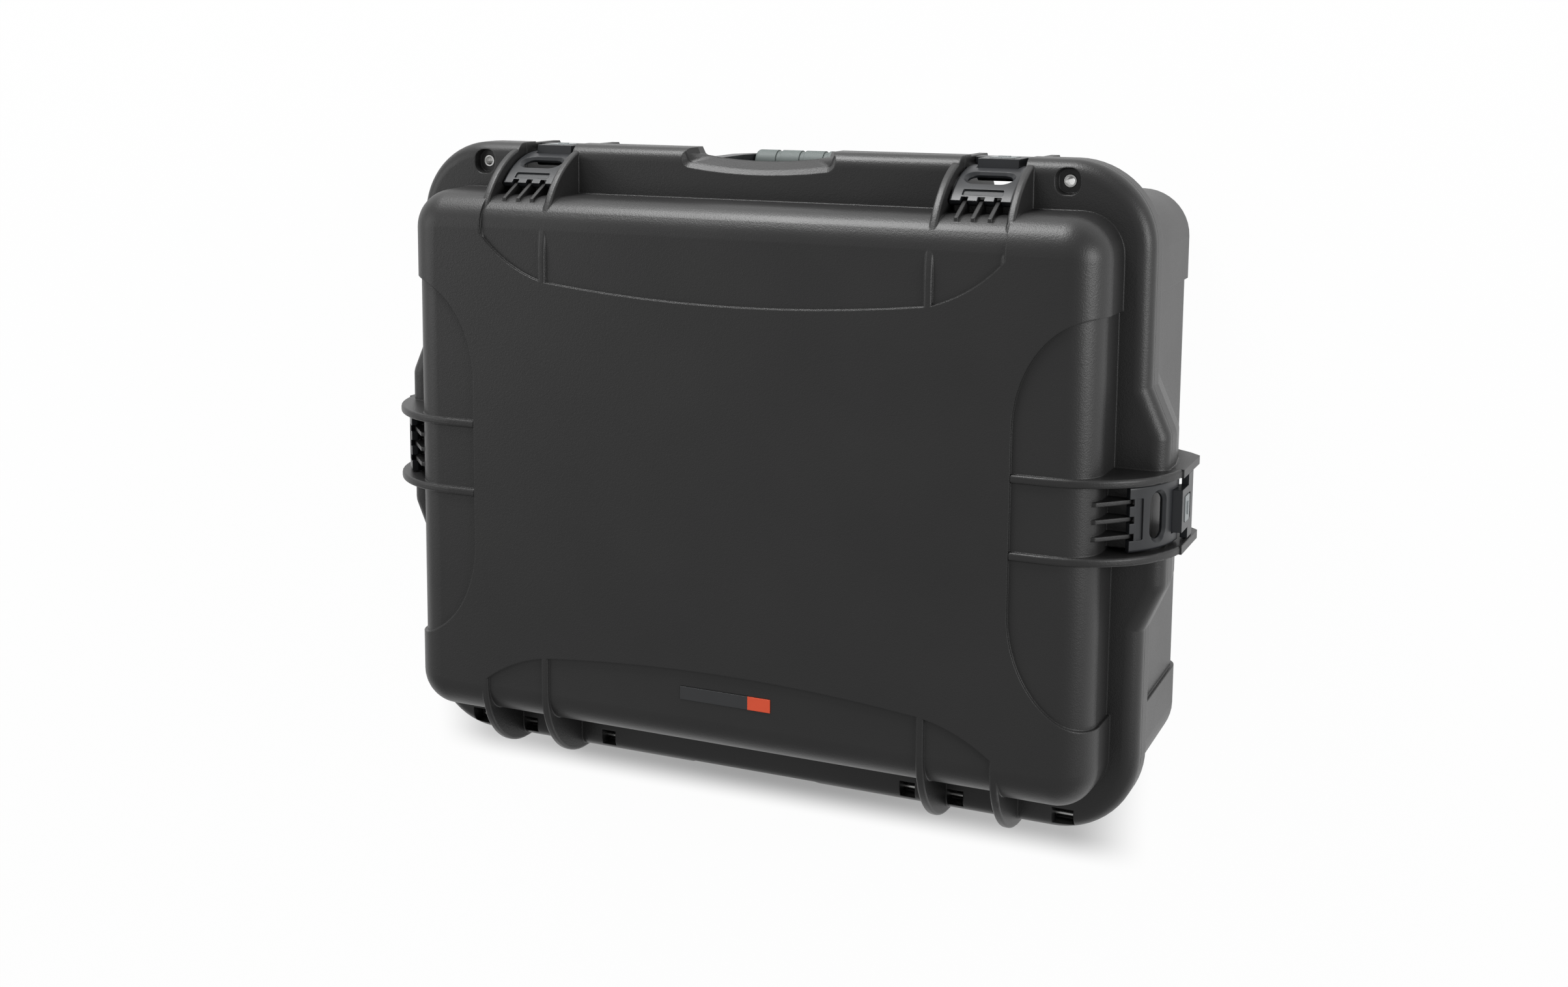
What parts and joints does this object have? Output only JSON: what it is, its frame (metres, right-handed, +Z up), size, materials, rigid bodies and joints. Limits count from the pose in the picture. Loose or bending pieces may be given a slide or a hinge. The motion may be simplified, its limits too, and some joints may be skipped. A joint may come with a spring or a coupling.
{
  "type": "hard case",
  "caption": "Black hard protective case with a domed lid, lever latches with lock sliders, steel-bushed padlock holes and a folding handle.",
  "frame": {"origin": "centre of the overall box in plan, at the level of the base's underside", "axes": "+X to the right of someone who faces the handle, +Y from the handle to the hinges, +Z up from the base to the lid, with the case lying on its base"},
  "size_m": [0.634, 0.482, 0.224],
  "materials": {
    "shell_plastic": "fine pebbled matt",
    "latch_plastic": "satin",
    "lock_plastic": "satin",
    "grip_rubber": "matt",
    "stainless_steel": "brushed",
    "seal_rubber": "matt",
    "plate_dark": "satin",
    "plate_red": "satin"
  },
  "bodies": {
    "base": {"base_shell": "shell_plastic", "hinge_pin_left": "stainless_steel", "hinge_pin_right": "stainless_steel", "lever_pin_front_left": "stainless_steel", "lever_pin_front_right": "stainless_steel", "lever_pin_left": "stainless_steel", "lever_pin_right": "stainless_steel", "handle_pin_left": "stainless_steel", "handle_pin_right": "stainless_steel", "padlock_bushing_base_left": "stainless_steel", "padlock_bushing_base_right": "stainless_steel", "valve_body": "latch_plastic", "valve_nut": "latch_plastic"},
    "lid": {"lid_shell": "shell_plastic", "gasket": "seal_rubber", "padlock_bushing_lid_left": "stainless_steel", "padlock_bushing_lid_right": "stainless_steel", "name_plate": "plate_dark", "name_plate_block": "plate_red"},
    "latch_lever_front_left": {"lever_front_left": "latch_plastic", "claw_pin_front_left_a": "stainless_steel", "claw_pin_front_left_b": "stainless_steel"},
    "latch_claw_front_left": {"claw_front_left": "latch_plastic"},
    "latch_button_front_left": {"lock_button_front_left": "lock_plastic"},
    "latch_lever_front_right": {"lever_front_right": "latch_plastic", "claw_pin_front_right_a": "stainless_steel", "claw_pin_front_right_b": "stainless_steel"},
    "latch_claw_front_right": {"claw_front_right": "latch_plastic"},
    "latch_button_front_right": {"lock_button_front_right": "lock_plastic"},
    "latch_lever_left": {"lever_left": "latch_plastic", "claw_pin_left_a": "stainless_steel", "claw_pin_left_b": "stainless_steel"},
    "latch_claw_left": {"claw_left": "latch_plastic"},
    "latch_button_left": {"lock_button_left": "lock_plastic"},
    "latch_lever_right": {"lever_right": "latch_plastic", "claw_pin_right_a": "stainless_steel", "claw_pin_right_b": "stainless_steel"},
    "latch_claw_right": {"claw_right": "latch_plastic"},
    "latch_button_right": {"lock_button_right": "lock_plastic"},
    "handle": {"handle_frame": "latch_plastic", "handle_grip": "grip_rubber"}
  },
  "joints": [
    {"name": "lid_hinge", "type": "hinge", "parent": "base", "child": "lid", "pos_m": [0, 0.23, 0.156], "axis": [-1, 0, 0], "range_deg": [0, 100]},
    {"name": "lever_front_left_hinge", "type": "hinge", "parent": "base", "child": "latch_lever_front_left", "pos_m": [-0.179, -0.2273, 0.152], "axis": [-1, 0, 0], "range_deg": [0, 80]},
    {"name": "claw_front_left_hinge", "type": "hinge", "parent": "latch_lever_front_left", "child": "latch_claw_front_left", "pos_m": [-0.179, -0.2308, 0.143], "axis": [-1, 0, 0], "range_deg": [-112, 0]},
    {"name": "lock_front_left_slide", "type": "slide", "parent": "latch_lever_front_left", "child": "latch_button_front_left", "axis": [0, 0, -1], "range_m": [0, 0.004]},
    {"name": "lever_front_right_hinge", "type": "hinge", "parent": "base", "child": "latch_lever_front_right", "pos_m": [0.179, -0.2273, 0.152], "axis": [-1, 0, 0], "range_deg": [0, 80]},
    {"name": "claw_front_right_hinge", "type": "hinge", "parent": "latch_lever_front_right", "child": "latch_claw_front_right", "pos_m": [0.179, -0.2308, 0.143], "axis": [-1, 0, 0], "range_deg": [-112, 0]},
    {"name": "lock_front_right_slide", "type": "slide", "parent": "latch_lever_front_right", "child": "latch_button_front_right", "axis": [0, 0, -1], "range_m": [0, 0.004]},
    {"name": "lever_left_hinge", "type": "hinge", "parent": "base", "child": "latch_lever_left", "pos_m": [-0.3038, 0, 0.152], "axis": [0, 1, 0], "range_deg": [0, 80]},
    {"name": "claw_left_hinge", "type": "hinge", "parent": "latch_lever_left", "child": "latch_claw_left", "pos_m": [-0.3073, 0, 0.143], "axis": [0, 1, 0], "range_deg": [-112, 0]},
    {"name": "lock_left_slide", "type": "slide", "parent": "latch_lever_left", "child": "latch_button_left", "axis": [0, 0, -1], "range_m": [0, 0.004]},
    {"name": "lever_right_hinge", "type": "hinge", "parent": "base", "child": "latch_lever_right", "pos_m": [0.3038, 0, 0.152], "axis": [0, -1, 0], "range_deg": [0, 80]},
    {"name": "claw_right_hinge", "type": "hinge", "parent": "latch_lever_right", "child": "latch_claw_right", "pos_m": [0.3073, 0, 0.143], "axis": [0, -1, 0], "range_deg": [-112, 0]},
    {"name": "lock_right_slide", "type": "slide", "parent": "latch_lever_right", "child": "latch_button_right", "axis": [0, 0, -1], "range_m": [0, 0.004]},
    {"name": "handle_hinge", "type": "hinge", "parent": "base", "child": "handle", "pos_m": [0, -0.225, 0.131], "axis": [-1, 0, 0], "range_deg": [0, 90]}
  ],
  "couplings": [
    {"joint": "claw_front_left_hinge", "follows": "lever_front_left_hinge", "ratio": -1.4},
    {"joint": "claw_front_right_hinge", "follows": "lever_front_right_hinge", "ratio": -1.4},
    {"joint": "claw_left_hinge", "follows": "lever_left_hinge", "ratio": -1.4},
    {"joint": "claw_right_hinge", "follows": "lever_right_hinge", "ratio": -1.4}
  ]
}
